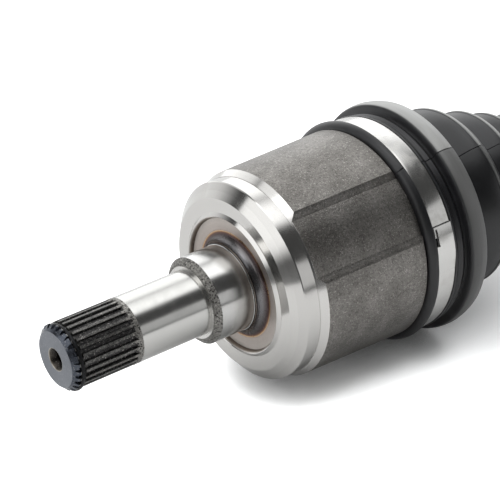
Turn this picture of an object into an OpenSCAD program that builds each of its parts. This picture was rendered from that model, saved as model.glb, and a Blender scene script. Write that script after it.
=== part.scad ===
// Front-wheel-drive half shaft: tripod plunging joint, solid bar and six-ball fixed joint.
// Origin on the shaft axis, where the ground journal meets the seal journal. +X runs outboard.

/* [Inboard stub] */
// Radius of the ground journal behind the spline
journal_r = 13.2; // [12:0.1:14.4]
// Length of stub from the journal's shoulder to the tip
stub_length = 61.3; // [55:0.1:70]
// Length of the inboard spline, from the tip
stub_spline_length = 29; // [24:0.1:32]
// Number of teeth on the inboard spline
stub_teeth = 26; // [22:1:30]
// Radius of the seal journal
seal_r = 17.5; // [16:0.1:19]
// Length of the seal journal, with its chamfer
seal_length = 17.6; // [14:0.1:18]
// Wire radius of the round circlips
clip_wire_r = 0.9; // [0.6:0.05:1]

/* [Inboard housing] */
// Azimuth of the first trunnion, from +Y towards +Z, in degrees
clock = 78.4; // [60:0.2:90]
// Radius of the polished band behind the front face
band_r = 40.6; // [40.2:0.1:41]
// Radius of the forged lobes at the front
lobe_r = 42.4; // [42:0.1:43.2]
// Growth of the forging's radius from front to mouth
draft = 1.2; // [0.4:0.1:1.6]
// Depth of the flutes between the lobes
flute_depth = 1.3; // [0.6:0.1:1.6]
// Angle of forging that one flute takes, in degrees
flute_angle = 43.2; // [36:0.2:50]
// Station of the front face
front_x = 19.7; // [19:0.1:20.5]
// Station of the housing's open mouth
mouth_x = 97.5; // [96.5:0.1:100]

/* [Tripod joint] */
// Station of the joint's centre at rest
tripod_x = 60.5; // [60:0.1:61]
// Distance of the trunnion heads from the axis
trunnion_pitch = 24; // [23.6:0.1:24.4]
// Radius of the spherical trunnion heads
head_r = 9.5; // [9:0.1:9.6]
// Wall of the roller's inner ring
ring_wall = 1.75; // [1.5:0.05:1.8]
// Radius of one needle
needle_r = 1.1; // [0.9:0.05:1.15]
// Needles in one set
needle_count = 30; // [20:1:32]
// Outer radius of a roller
roller_r = 16.5; // [16.2:0.1:16.8]
// Width of a roller
roller_w = 12; // [11:0.2:12.4]
// Radius of the spider's hub
hub_r = 15; // [14:0.1:16]
// Width of the spider's hub
hub_w = 22; // [20:0.5:24]

/* [Shaft bar] */
// Radius of the bar between the joints
bar_r = 11.6; // [10.5:0.1:12]
// Outer radius of the splines at both ends of the bar
bar_spline_r = 12; // [11.6:0.1:12.4]
// Teeth on the bar's end splines
bar_teeth = 28; // [24:1:32]
// Station of the outer joint's centre
ball_joint_x = 480; // [420:5:560]

/* [Ball joint] */
// Radius of one ball
ball_r = 8.5; // [8.2:0.1:8.7]
// Distance of the ball centres from the joint's centre
ball_pitch = 28.5; // [28:0.1:29]
// Thickness of the ball cage
cage_wall = 5; // [4.4:0.1:5.4]
// Width of the ball cage
cage_w = 27; // [25:0.5:28]
// Width of the inner race
race_w = 23; // [21:0.5:24]
// Outer radius of the bell
bell_r = 43; // [42.4:0.1:44.5]
// Radius of the shoulder that the wheel bearing sits against
bearing_shoulder_r = 29; // [27:0.5:32]
// Radius of the pilot next to that shoulder
pilot_r = 15.6; // [15.2:0.1:16.4]
// Length of that pilot
pilot_length = 9; // [6:0.5:11]
// Length of the outboard spline
hub_spline_length = 34; // [28:0.5:40]
// Radius of the outboard thread
thread_r = 12; // [11.4:0.1:12.4]
// Length of the outboard thread
thread_length = 24; // [18:0.5:30]

/* [Boots and clamps] */
// Wall of both rubber boots
boot_wall = 2.4; // [1.8:0.1:2.8]
// Width of the band clamps
clamp_w = 8.8; // [7:0.1:9]
// Thickness of the clamp bands
band_t = 0.8; // [0.6:0.1:1]
// Radius of the inner boot's widest rim
rim_r = 48.4; // [47.4:0.1:49.5]
// Radius of the outer boot's widest convolution
outer_rim_r = 44; // [42:0.5:47]

/* [Hidden] */
$fn = 96;

// Clearances
slip = 0.06;
press_gap = 0.02;
roller_play = 0.12;
tilt_play = 0.65;
flank_play = 0.9;
boot_play = 0.3;
past = 1;

// Stations and radii of the stub
spline_end_x = stub_spline_length - stub_length;
stub_root_r = journal_r - 1.2;
tip_chamfer = 2.2;
clip_x = tip_chamfer + 1.7 - stub_length;
clip_groove_w = 2 * clip_wire_r + 0.2;
clip_root_r = journal_r - 0.2 - 2 * clip_wire_r;

// Stations and radii of the inner housing
recess_depth = 1.5;
recess_r = 26.9;
recess_rim_r = 29.2;
face_r = 35.3;
band_x = front_x + 5;
forging_x = front_x + 10.7;
lip_x = mouth_x - 15.5;
lip_seat_r = band_r + 0.4;
land_r = trunnion_pitch;
land_end_x = mouth_x - 4.5;
flare_r = land_r + 4.5;
flare_length = 11;
mouth_bore_r = lip_seat_r - 4.6;
cavity_x = front_x + 7.8;
lip_rise = 0.4;
lip_slope_r = recess_rim_r + 0.3;
lip_peak_r = recess_rim_r - 1.1;
flank_angle = 6.5;
flute_half = flute_angle / 2;

// Tripod sizes
ring_bore_r = head_r + tilt_play;
ring_r = ring_bore_r + ring_wall;
needle_pitch = ring_r + needle_r + press_gap;
roller_bore_r = ring_r + 2 * needle_r + 2 * press_gap;
roller_lip_r = ring_r + 0.3;
roller_lip_w = 1;
crown_r = 20;
crown_off = crown_r - roller_r;
neck_r = 7.5;
head_top = 5.4;
track_room_in = 0.4;
track_room_out = 1;
stop_wire_r = 1;
stop_x = land_end_x + stop_wire_r + 0.6;

// Stations and radii of the bar
bar_root_r = bar_spline_r - 0.9;
hub_in_x = tripod_x - hub_w / 2;
hub_out_x = tripod_x + hub_w / 2;
bar_start_x = hub_in_x - 4;
retainer_w = 1.5;
retainer_r = bar_spline_r + 2;
retainer_root_r = bar_root_r - 0.3;
shoulder_r = bar_r + 1.2;
race_in_x = ball_joint_x - race_w / 2;
race_out_x = ball_joint_x + race_w / 2;
bar_end_x = race_out_x + 4;
small_seat_w = clamp_w + 5;
seat_ridge_w = 4;
seat_ridge_r = shoulder_r + 0.6;
seat_floor_r = seat_ridge_r - 0.7;
inner_seat_x = 186;
outer_seat_back = 108;
outer_seat_x = ball_joint_x - outer_seat_back;

// Sizes of the ball joint
cage_out_r = ball_pitch + cage_wall / 2;
cage_in_r = ball_pitch - cage_wall / 2;
bell_in_r = cage_out_r + slip;
ball_track_r = ball_r + flank_play;
bell_mouth = 15;
bell_floor = 24;
race_angle = 58;
bell_in_angle = 40;
bell_out_angle = 41;
bell_seat_r = bell_r - 1.5;
bell_seat_w = 11.5;
bell_body = 17;
bell_length = 37;
shoulder_x = ball_joint_x + bell_length;
pilot_end_x = shoulder_x + pilot_length;
hub_spline_r = pilot_r - 1;
hub_root_r = hub_spline_r - 1.1;
hub_spline_end_x = pilot_end_x + hub_spline_length;
thread_relief = 3.3;
thread_end_x = hub_spline_end_x + thread_relief + thread_length;
bell_mouth_x = ball_joint_x - bell_mouth;
bell_step_x = bell_mouth_x + bell_seat_w;

// Folds of the inner boot: widest rim behind the forging's lip, first valley and first crest behind and
// below that rim, spacing, fall of each crest, and how far behind and below a crest its valley lies
inner_rim_back = 23;
inner_valley_back = 8;
inner_valley_fall = 15.8;
inner_crest_back = 24.8;
inner_crest_fall = 10.8;
inner_fold_step = 15.8;
inner_fold_fall = 5;
inner_fold_back = 6.7;
inner_fold_depth = 7.5;

// Folds of the outer boot: first crest behind the bell's mouth, spacing, fall of each crest, depth of a valley
outer_fold_start = 15.5;
outer_fold_step = 13;
outer_fold_fall = 5.2;
outer_fold_depth = 9;

// Seats of the band clamps, and where each one's lap lies around the axis
clamp_side = 0.1;
inner_large_lap = 163;
inner_small_lap = 120;
outer_small_lap = 60;
outer_large_lap = 100;
inner_clamp_x = lip_x + 3.6;
inner_clamp_r = lip_seat_r + 3.3;
outer_clamp_x = bell_step_x - 1.8 - clamp_w;
outer_clamp_r = bell_seat_r + boot_wall;
small_clamp_r = seat_floor_r + boot_wall;

// Points of an arc: centre x and radius, arc radius, start and end angle, steps
function arc(cx, cr, r, a0, a1, n = 8) =
    [for (i = [0:n]) let (a = a0 + (a1 - a0) * i / n) [cx + r * cos(a), cr + r * sin(a)]];

// Bellows outline between stations of alternating peaks and valleys, each [x, r]
function bellows(marks, n = 6) = [
    for (i = [0:len(marks) - 2], j = [0:n - 1])
        let (here = marks[i], leap = marks[i + 1] - here, t = j / n)
            [here[0] + leap[0] * t, here[1] + leap[1] * (1 - cos(180 * t)) / 2],
    marks[len(marks) - 1]];

function reversed(list) = [for (i = [len(list) - 1:-1:0]) list[i]];
function shifted(list, dx, dr) = [for (p = list) [p[0] + dx, p[1] + dr]];

// Solid of revolution about the shaft axis from an outline of [x, r] points
module turned(points) {
    rotate([0, 90, 0]) rotate_extrude() polygon([for (p = points) [p[1], p[0]]]);
}

// Solid of revolution about the local Y axis from an outline of [y, r] points
module spun(points) {
    rotate([-90, 0, 0]) rotate_extrude() polygon([for (p = points) [p[1], p[0]]]);
}

// Straight round bar along X
module rod(x0, x1, r) {
    cone(x0, x1, r, r);
}

// Round bar along X whose radius grows from one end to the other
module cone(x0, x1, r0, r1) {
    translate([x0, 0, 0]) rotate([0, 90, 0]) cylinder(h = x1 - x0, r1 = r0, r2 = r1);
}

// Groove cutter around the axis, between two stations and outwards from its floor
module groove(x0, x1, floor_r, out_r) {
    turned([[x0, floor_r], [x1, floor_r], [x1, out_r], [x0, out_r]]);
}

// Toothed bar along X, with flanks that narrow towards the top
module splined_rod(x0, x1, root_r, top_r, teeth) {
    step = 360 / teeth;
    outline = [for (i = [0:teeth - 1], c = [[-0.30, root_r], [-0.17, top_r], [0.17, top_r], [0.30, root_r]])
        let (a = (i + c[0]) * step) [c[1] * cos(a), c[1] * sin(a)]];
    translate([x0, 0, 0]) rotate([90, 0, 90]) linear_extrude(x1 - x0) polygon(outline);
}

// Ball with its poles on the shaft axis
module round_body(r) {
    rotate([30, 0, 0]) rotate([0, 90, 0]) sphere(r);
}

// Round wire ring around the axis, open by a gap
module wire_ring(x, r, wire_r, gap_angle) {
    translate([x, 0, 0]) rotate([0, 90, 0]) rotate([0, 0, gap_angle / 2])
        rotate_extrude(angle = 360 - gap_angle) translate([r, 0]) circle(wire_r, $fn = 24);
}

// Flat retaining ring around the axis, open by a gap
module flat_ring(x0, x1, r_in, r_out, gap) {
    difference() {
        turned([[x0, r_in], [x1, r_in], [x1, r_out], [x0, r_out]]);
        translate([x0 - past, 0, -gap / 2]) cube([x1 - x0 + 2 * past, r_out + past, gap]);
    }
}

// Places children at trunnion k, with local Y along the trunnion
module at_trunnion(k) {
    translate([tripod_x, 0, 0]) rotate([clock + 120 * (k - 1), 0, 0]) children();
}

// Inner housing: stub, machined front, forged lobes and the three-track cavity
module stub_outline() {
    seal_ring_r = seal_r + 0.5;
    fillet_r = front_x + recess_depth - seal_length;
    turned(concat(
        [[-stub_length, 0], [-stub_length, journal_r - tip_chamfer],
         [tip_chamfer - stub_length, stub_root_r], [spline_end_x - 1.5, stub_root_r],
         [spline_end_x, journal_r], [0, journal_r], [0, seal_r - 2.1], [2.05, seal_r],
         [seal_length - 0.6, seal_r], [seal_length - 0.4, seal_ring_r]],
        arc(seal_length, seal_ring_r + fillet_r, fillet_r, -90, 0),
        [[front_x + recess_depth, recess_r], [front_x + 0.2, lip_peak_r - 0.6],
         [front_x - lip_rise + 0.2, lip_peak_r - 0.3], [front_x - lip_rise, lip_peak_r],
         [front_x + 0.7, lip_slope_r], [front_x + 0.4, face_r], [band_x - 0.4, band_r - 0.3],
         [band_x, band_r], [forging_x, band_r], [lip_x, lip_seat_r], [mouth_x - 0.8, lip_seat_r],
         [mouth_x, lip_seat_r - 0.8], [mouth_x, 0]]));
}

module forging() {
    core_r = lobe_r - flute_depth;
    edge_slope = 0.6;
    intersection() {
        union() {
            cone(forging_x, lip_x, core_r, core_r + draft);
            difference() {
                cone(forging_x, lip_x, lobe_r, lobe_r + draft);
                for (k = [0:2]) rotate([clock + 60 + 120 * k, 0, 0]) flute();
            }
        }
        turned([[forging_x, 0], [forging_x, band_r + 0.1], [forging_x + 6, band_r + 6 * edge_slope],
                [lip_x - 0.8, lobe_r + draft], [lip_x, lobe_r + draft - 0.8], [lip_x, 0]]);
    }
}

// Cutter for one flute: flanks that swing from the core out to the lobes, rising with the forging's draft
module flute() {
    over = 0.15;
    steps = 8;
    reach = 3 * past;
    length = lip_x - forging_x;
    flank = [for (i = [0:steps]) let (t = i / steps)
        [lobe_r - flute_depth - over + (flute_depth + 2 * over) * (1 - cos(180 * t)) / 2,
         flute_half - flank_angle * (1 - t)]];
    side = concat(flank, [[2 * lobe_r, flute_half]]);
    corners = concat(side, [for (p = reversed(side)) [p[0], -p[1]]]);
    translate([forging_x, 0, 0]) rotate([0, 0, atan(draft / length)]) translate([-reach, 0, 0])
        rotate([90, 0, 90]) linear_extrude(length + 2 * reach)
            polygon([for (c = corners) [c[0] * cos(c[1]), c[0] * sin(c[1])]]);
}

module roller_track() {
    low = trunnion_pitch - roller_w / 2 - track_room_in;
    high = trunnion_pitch + roller_w / 2 + track_room_out;
    length = land_end_x + past - cavity_x;
    half_gap = roller_r + past;
    intersection() {
        for (side = [-1, 1])
            translate([0, trunnion_pitch, side * crown_off])
                rod(cavity_x, cavity_x + length, crown_r + roller_play);
        translate([cavity_x, low, -half_gap]) cube([length, high - low, 2 * half_gap]);
    }
}

// Lathe centre hole in the stub's tip: a drilled hole with a countersink and a wider mouth
module centre_hole(r) {
    turned([[-stub_length - past, 0], [-stub_length - past, r + 3], [0.6 - stub_length, r + 1.4],
            [2.4 - stub_length, r], [11 - stub_length, r], [11 + r / 2 - stub_length, 0]]);
}

module inner_housing() {
    color("#a9a7a2") difference() {
        union() {
            stub_outline();
            forging();
            intersection() {
                splined_rod(-stub_length, spline_end_x, stub_root_r - 0.2, journal_r - 0.1, stub_teeth);
                turned([[-stub_length, 0], [-stub_length, journal_r - tip_chamfer],
                        [tip_chamfer - stub_length, journal_r], [spline_end_x, journal_r],
                        [spline_end_x, 0]]);
            }
        }
        centre_hole(2.6);
        groove(clip_x - clip_groove_w / 2, clip_x + clip_groove_w / 2, clip_root_r, journal_r + past);
        turned([[cavity_x, 0], [cavity_x, land_r - 3], [cavity_x + 3, land_r],
                [land_end_x - flare_length, land_r], [land_end_x, flare_r],
                [land_end_x, mouth_bore_r], [mouth_x + past, mouth_bore_r],
                [mouth_x + past, 0]]);
        translate([stop_x, 0, 0]) rotate([0, 90, 0]) rotate_extrude()
            translate([mouth_bore_r, 0]) circle(stop_wire_r + slip, $fn = 24);
        for (k = [0:2]) rotate([clock + 120 * k, 0, 0]) roller_track();
    }
}

module inboard_circlip() {
    color("#6f6f6d") wire_ring(clip_x, clip_root_r + clip_wire_r, clip_wire_r, 24);
}

module housing_stop_ring() {
    color("#5c5c5a") wire_ring(stop_x, mouth_bore_r, stop_wire_r, 30);
}

// Splined hole that the bar's end spline slides into
module bar_spline_cut(x0, x1) {
    splined_rod(x0, x1, bar_root_r + slip, bar_spline_r + slip, bar_teeth);
}

// Tripod: spider, inner rings, needles and rollers
module tripod_spider() {
    chamfer = 1.5;
    head_start = 180 - asin(neck_r / head_r);
    head_end = acos(head_top / head_r);
    color("#8b8b88") difference() {
        union() {
            turned([[hub_in_x, 0], [hub_in_x, hub_r - chamfer], [hub_in_x + chamfer, hub_r],
                    [hub_out_x - chamfer, hub_r], [hub_out_x, hub_r - chamfer], [hub_out_x, 0]]);
            for (k = [1:3]) at_trunnion(k)
                spun(concat(
                    [[hub_r - 4, 0], [hub_r - 4, neck_r + 2], [hub_r - 0.5, neck_r + 2],
                     [hub_r + 1.5, neck_r]],
                    arc(trunnion_pitch, 0, head_r, head_start, head_end, 16),
                    [[trunnion_pitch + head_top, 0]]));
        }
        bar_spline_cut(hub_in_x - past, hub_out_x + past);
    }
}

module roller_ring(k) {
    edge = 0.4;
    low = trunnion_pitch - roller_w / 2;
    high = trunnion_pitch + roller_w / 2;
    color("#c3c3c0") at_trunnion(k)
        spun([[low, ring_bore_r], [high, ring_bore_r], [high, ring_r - edge], [high - edge, ring_r],
              [low + edge, ring_r], [low, ring_r - edge]]);
}

module needle_set(k) {
    length = roller_w - 2 * roller_lip_w - 0.2;
    color("#d5d5d2") at_trunnion(k)
        for (i = [0:needle_count - 1]) rotate([0, 360 * i / needle_count, 0])
            translate([needle_pitch, trunnion_pitch + length / 2, 0]) rotate([90, 0, 0])
                cylinder(h = length, r = needle_r, $fn = 24);
}

module roller(k) {
    low = trunnion_pitch - roller_w / 2;
    high = trunnion_pitch + roller_w / 2;
    steps = 12;
    crown = [for (i = [0:steps]) let (u = (0.5 - i / steps) * roller_w)
        [trunnion_pitch + u, sqrt(crown_r * crown_r - u * u) - crown_off]];
    color("#b9b9b6") at_trunnion(k)
        spun(concat(crown,
            [[low, roller_lip_r], [low + roller_lip_w, roller_lip_r], [low + roller_lip_w, roller_bore_r],
             [high - roller_lip_w, roller_bore_r], [high - roller_lip_w, roller_lip_r], [high, roller_lip_r]]));
}

module spider_circlip() {
    color("#5c5c5a") flat_ring(hub_in_x - retainer_w, hub_in_x, retainer_root_r, retainer_r, 7);
}

// Outline of one boot seat on the bar: two ridges with the boot's groove between them
function boot_seat(x0) = [
    [x0 - seat_ridge_w - 2, bar_r], [x0 - seat_ridge_w, seat_ridge_r], [x0, seat_ridge_r],
    [x0, seat_floor_r], [x0 + small_seat_w, seat_floor_r], [x0 + small_seat_w, seat_ridge_r],
    [x0 + small_seat_w + seat_ridge_w, seat_ridge_r], [x0 + small_seat_w + seat_ridge_w + 2, bar_r]];

// Shaft bar with its end splines, ring grooves and boot seats
module shaft_bar() {
    chamfer = 1.2;
    color("#2c2c2c") difference() {
        union() {
            turned(concat(
                [[bar_start_x, 0], [bar_start_x, bar_root_r - chamfer], [bar_start_x + chamfer, bar_root_r],
                 [hub_out_x, bar_root_r], [hub_out_x, shoulder_r], [hub_out_x + 6, shoulder_r],
                 [hub_out_x + 12, bar_r]],
                boot_seat(inner_seat_x),
                boot_seat(outer_seat_x),
                [[race_in_x - 8, bar_r], [race_in_x - 6, shoulder_r], [race_in_x, shoulder_r],
                 [race_in_x, bar_root_r], [bar_end_x - chamfer, bar_root_r],
                 [bar_end_x, bar_root_r - chamfer], [bar_end_x, 0]]));
            splined_rod(bar_start_x + chamfer, hub_out_x + 0.5, bar_root_r - 0.2, bar_spline_r, bar_teeth);
            splined_rod(race_in_x - 0.5, bar_end_x - chamfer, bar_root_r - 0.2, bar_spline_r, bar_teeth);
        }
        groove(hub_in_x - retainer_w - slip, hub_in_x, retainer_root_r, bar_spline_r + past);
        groove(race_out_x, race_out_x + retainer_w + slip, retainer_root_r, bar_spline_r + past);
    }
}

// Ball joint
module inner_race() {
    color("#9a9a97") difference() {
        intersection() {
            translate([ball_joint_x, 0, 0]) round_body(cage_in_r - slip);
            rod(race_in_x, race_out_x, cage_in_r + past);
        }
        bar_spline_cut(race_in_x - past, race_out_x + past);
        translate([ball_joint_x, 0, 0]) ball_tracks(race_angle, race_angle);
    }
}

// Six curved grooves around the joint's centre, from one angle off the ball plane to the other
module ball_tracks(inboard_angle, outboard_angle) {
    for (k = [0:5]) rotate([60 * k, 0, 0]) rotate([0, 0, 90 - outboard_angle])
        rotate_extrude(angle = outboard_angle + inboard_angle)
            translate([ball_pitch, 0]) circle(ball_track_r, $fn = 48);
}

module inner_race_circlip() {
    color("#5c5c5a") flat_ring(race_out_x, race_out_x + retainer_w, retainer_root_r, retainer_r, 7);
}

module ball_cage() {
    window_w = 2 * ball_r + 2 * slip;
    window_l = 2 * ball_r + 3;
    color("#7d7d7a") translate([ball_joint_x, 0, 0]) difference() {
        intersection() {
            round_body(cage_out_r);
            rod(-cage_w / 2, cage_w / 2, cage_out_r + past);
        }
        round_body(cage_in_r);
        for (k = [0:5]) rotate([60 * k, 0, 0])
            translate([-window_w / 2, ball_pitch - cage_wall, -window_l / 2])
                cube([window_w, 2 * cage_wall, window_l]);
    }
}

module ball(k) {
    color("#d8d8d6") translate([ball_joint_x, 0, 0]) rotate([60 * (k - 1), 0, 0])
        translate([0, ball_pitch, 0]) sphere(ball_r);
}

// Outer housing: bell with six ball grooves, bearing shoulder, pilot, spline and thread
module bell_outline() {
    edge = 0.8;
    dome_r = 14;
    thread_start_x = hub_spline_end_x + thread_relief;
    turned(concat(
        [[bell_mouth_x, 0], [bell_mouth_x, bell_seat_r - edge], [bell_mouth_x + edge, bell_seat_r],
         [bell_step_x, bell_seat_r], [bell_step_x, bell_r - edge], [bell_step_x + edge, bell_r]],
        arc(ball_joint_x + bell_body, bell_r - dome_r, dome_r, 90, 20),
        [[shoulder_x - 1, bearing_shoulder_r], [shoulder_x, bearing_shoulder_r - 1], [shoulder_x, pilot_r],
         [pilot_end_x, pilot_r], [pilot_end_x + 1, hub_root_r], [hub_spline_end_x, hub_root_r],
         [hub_spline_end_x + 0.5, thread_r - 1], [thread_start_x - 1, thread_r - 1],
         [thread_start_x, thread_r], [thread_end_x - 1.5, thread_r], [thread_end_x, thread_r - 1.5],
         [thread_end_x, 0]]));
}

module hub_spline() {
    intersection() {
        splined_rod(pilot_end_x, hub_spline_end_x, hub_root_r - 0.2, hub_spline_r, stub_teeth);
        turned([[pilot_end_x, 0], [pilot_end_x, hub_spline_r + past], [hub_spline_end_x - 1.5, hub_spline_r],
                [hub_spline_end_x, hub_root_r], [hub_spline_end_x, 0]]);
    }
}

module outer_housing() {
    hole_r = 1.6;
    mouth_cone = 8;
    color("#8e8c88") difference() {
        union() {
            bell_outline();
            hub_spline();
        }
        translate([ball_joint_x, 0, 0]) {
            intersection() {
                round_body(bell_in_r);
                rod(-bell_in_r, bell_floor, bell_in_r + past);
            }
            cone(-bell_mouth - past, -mouth_cone, bell_in_r + 2.2, bell_in_r - 0.8);
            ball_tracks(bell_in_angle, bell_out_angle);
        }
        turned([[thread_end_x + past, 0], [thread_end_x + past, hole_r + 3.8], [thread_end_x - 2.8, hole_r],
                [thread_end_x - 8, hole_r], [thread_end_x - 9, 0]]);
    }
}

// Outline of a boot's small end, from the bellows outwards; way is 1 or -1 along X
function small_end(x0, way) = [
    for (p = [[-0.6, 1], [2.2, 1], [2.4, 0], [2.6 + clamp_w, 0], [small_seat_w, 1]])
        [x0 + way * p[0], small_clamp_r + p[1]]];

// Inside of a boot's small end, from the bellows towards its open end; way is 1 or -1 along X
function small_bore(x0, way) = [
    [x0 - way * 0.8, seat_ridge_r + boot_play], [x0, seat_ridge_r + boot_play], [x0, seat_floor_r],
    [x0 + way * small_seat_w, seat_floor_r]];

// Boots: rubber bellows of one wall thickness
module inner_boot() {
    rim_x = lip_x + inner_rim_back;
    clamp_end_x = inner_clamp_x + clamp_w + clamp_side;
    crests = [for (i = [0:3]) [rim_x + inner_crest_back + inner_fold_step * i,
                               rim_r - inner_crest_fall - inner_fold_fall * i]];
    folds = concat([[rim_x + inner_valley_back, rim_r - inner_valley_fall]],
        [for (i = [0:3], p = [crests[i], crests[i] + [inner_fold_back, i - inner_fold_depth]]) p]);
    outside = concat(
        [[lip_x, lip_seat_r + 2.2], [lip_x + 0.9, lip_seat_r + 4], [lip_x + 2, lip_seat_r + 5],
         [inner_clamp_x - 0.6, lip_seat_r + 5.4], [inner_clamp_x - clamp_side, lip_seat_r + 4.9],
         [inner_clamp_x - clamp_side, inner_clamp_r], [clamp_end_x, inner_clamp_r],
         [clamp_end_x + 0.2, inner_clamp_r + 0.9], [rim_x - 8, inner_clamp_r - 0.6],
         [rim_x - 5.3, inner_clamp_r], [rim_x - 4, inner_clamp_r - 0.2], [rim_x - 3, rim_r - 1.6],
         [rim_x - 1.6, rim_r - 0.3], [rim_x, rim_r], [rim_x + 3.5, rim_r - 1], [rim_x + 5.2, rim_r - 2.4]],
        bellows(folds),
        small_end(inner_seat_x, 1));
    inside = concat(
        reversed(small_bore(inner_seat_x, 1)),
        reversed(shifted(bellows(folds), 0, -boot_wall)),
        [[rim_x + 4, rim_r - boot_wall - 3], [rim_x + 0.5, rim_r - boot_wall - 1.2],
         [mouth_x + 3, inner_clamp_r - boot_wall], [mouth_x, lip_seat_r - 2.4], [mouth_x, lip_seat_r],
         [lip_x, lip_seat_r]]);
    color("#1d1d1f") turned(concat(outside, inside));
}

module outer_boot() {
    groove_out_x = outer_clamp_x + clamp_w + clamp_side;
    groove_in_x = outer_clamp_x - clamp_side;
    step = outer_fold_step;
    crests = [for (i = [0:4]) [bell_mouth_x - outer_fold_start - step * i, outer_rim_r - outer_fold_fall * i]];
    folds = concat([[crests[0][0] + step / 2, bell_seat_r - 4.5]],
        [for (i = [0:4], p = [crests[i], crests[i] + [-step / 2, 0.8 * i - outer_fold_depth]]) p]);
    outside = concat(
        [[bell_step_x, bell_seat_r + 1], [groove_out_x, outer_clamp_r + 1.2], [groove_out_x, outer_clamp_r],
         [groove_in_x, outer_clamp_r], [groove_in_x, outer_clamp_r + 1.2],
         [groove_in_x - 2, outer_clamp_r + 1.2], [groove_in_x - 4, bell_seat_r - 2]],
        bellows(folds),
        small_end(outer_seat_x + small_seat_w, -1));
    inside = concat(
        reversed(small_bore(outer_seat_x + small_seat_w, -1)),
        [[outer_seat_x + small_seat_w + seat_ridge_w, seat_ridge_r + boot_play]],
        reversed(shifted(bellows(folds), 0, -boot_wall)),
        [[bell_mouth_x - 1, bell_seat_r - 2.2], [bell_mouth_x, bell_seat_r - 2.2],
         [bell_mouth_x, bell_seat_r], [bell_step_x, bell_seat_r]]);
    color("#1d1d1f") turned(concat(outside, inside));
}

// Band clamp with a lapped, crimped joint at one azimuth
module band_clamp(x0, r_in, lap_at) {
    half_lap = r_in * sin(8);
    color("#cfcfcc") {
        groove(x0, x0 + clamp_w, r_in, r_in + band_t);
        intersection() {
            groove(x0 + 0.4, x0 + clamp_w - 0.4, r_in, r_in + 2 * band_t);
            rotate([lap_at, 0, 0]) translate([x0, r_in / 2, -half_lap]) cube([clamp_w, r_in, 2 * half_lap]);
        }
    }
}

module inner_boot_large_clamp() {
    band_clamp(inner_clamp_x, inner_clamp_r, inner_large_lap);
}

module inner_boot_small_clamp() {
    band_clamp(inner_seat_x + 2.5, small_clamp_r, inner_small_lap);
}

module outer_boot_small_clamp() {
    band_clamp(outer_seat_x + small_seat_w - 2.5 - clamp_w, small_clamp_r, outer_small_lap);
}

module outer_boot_large_clamp() {
    band_clamp(outer_clamp_x, outer_clamp_r, outer_large_lap);
}

inner_housing();
inboard_circlip();
inner_boot();
inner_boot_large_clamp();
housing_stop_ring();
roller_ring(1);  // roller_ring_1
roller_ring(2);  // roller_ring_2
roller_ring(3);  // roller_ring_3
needle_set(1);  // needle_set_1
needle_set(2);  // needle_set_2
needle_set(3);  // needle_set_3
roller(1);  // roller_1
roller(2);  // roller_2
roller(3);  // roller_3
tripod_spider();
spider_circlip();
shaft_bar();
inner_boot_small_clamp();
outer_boot_small_clamp();
inner_race();
inner_race_circlip();
ball_cage();
ball(1);  // ball_1
ball(2);  // ball_2
ball(3);  // ball_3
ball(4);  // ball_4
ball(5);  // ball_5
ball(6);  // ball_6
outer_housing();
outer_boot();
outer_boot_large_clamp();
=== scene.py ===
"""Front half shaft, dressed for display.

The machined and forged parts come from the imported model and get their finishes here. This script makes the
rubber bellows, the band clamps, the circlip of the stub and the outboard thread, and it sets up the studio.
Lengths are millimetres in the shaft's own frame: X runs outboard along the axis and Z is up. A station is a
place along X. An azimuth is counted in degrees from +Y towards +Z. The outline is station plus radius: it
grows along a stepped surface, its faces included, so it says where on the surface a point lies.
"""

import logging
import math
from dataclasses import dataclass
from enum import Enum
from typing import Callable, Sequence

import bmesh
import bpy
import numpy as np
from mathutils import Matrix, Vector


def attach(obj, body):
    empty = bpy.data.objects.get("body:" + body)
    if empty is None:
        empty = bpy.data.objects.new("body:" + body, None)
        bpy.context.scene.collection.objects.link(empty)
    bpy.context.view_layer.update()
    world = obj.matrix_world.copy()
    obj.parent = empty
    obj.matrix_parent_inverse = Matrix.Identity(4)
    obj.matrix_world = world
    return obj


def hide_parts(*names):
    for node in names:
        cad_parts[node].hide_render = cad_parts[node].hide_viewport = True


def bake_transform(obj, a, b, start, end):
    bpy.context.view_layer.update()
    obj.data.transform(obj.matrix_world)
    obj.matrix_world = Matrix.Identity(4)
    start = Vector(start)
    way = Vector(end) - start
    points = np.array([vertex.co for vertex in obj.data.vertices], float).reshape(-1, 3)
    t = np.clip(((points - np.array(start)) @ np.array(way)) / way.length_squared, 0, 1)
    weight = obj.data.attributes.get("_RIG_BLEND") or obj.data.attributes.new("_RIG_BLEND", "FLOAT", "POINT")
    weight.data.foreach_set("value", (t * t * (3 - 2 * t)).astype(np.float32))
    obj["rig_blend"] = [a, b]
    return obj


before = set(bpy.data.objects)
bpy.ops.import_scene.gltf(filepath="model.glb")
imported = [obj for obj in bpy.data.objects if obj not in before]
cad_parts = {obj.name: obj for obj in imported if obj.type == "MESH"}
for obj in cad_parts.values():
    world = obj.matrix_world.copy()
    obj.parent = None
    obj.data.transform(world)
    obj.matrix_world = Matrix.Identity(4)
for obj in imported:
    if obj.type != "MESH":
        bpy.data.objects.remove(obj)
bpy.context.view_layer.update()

LOG = logging.getLogger("half_shaft")
MM = 0.001
FULL_TURN = 360
Point = tuple[float, float]
Outline = list[Point]
Edges = tuple[float, float, float, float]
Step = tuple[float, float, float, float]
Triple = tuple[float, float, float]
Colour = tuple[float, float, float, float]
Socket = bpy.types.NodeSocket
Outputs = bpy.types.NodeOutputs
Tree = bpy.types.NodeTree
Node = bpy.types.Node
Material = bpy.types.Material
Piece = bpy.types.Object
Mesh = bmesh.types.BMesh
Shift = Callable[[int, float, float, float], float]
Ridge = Callable[[float, float, float], float]


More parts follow.
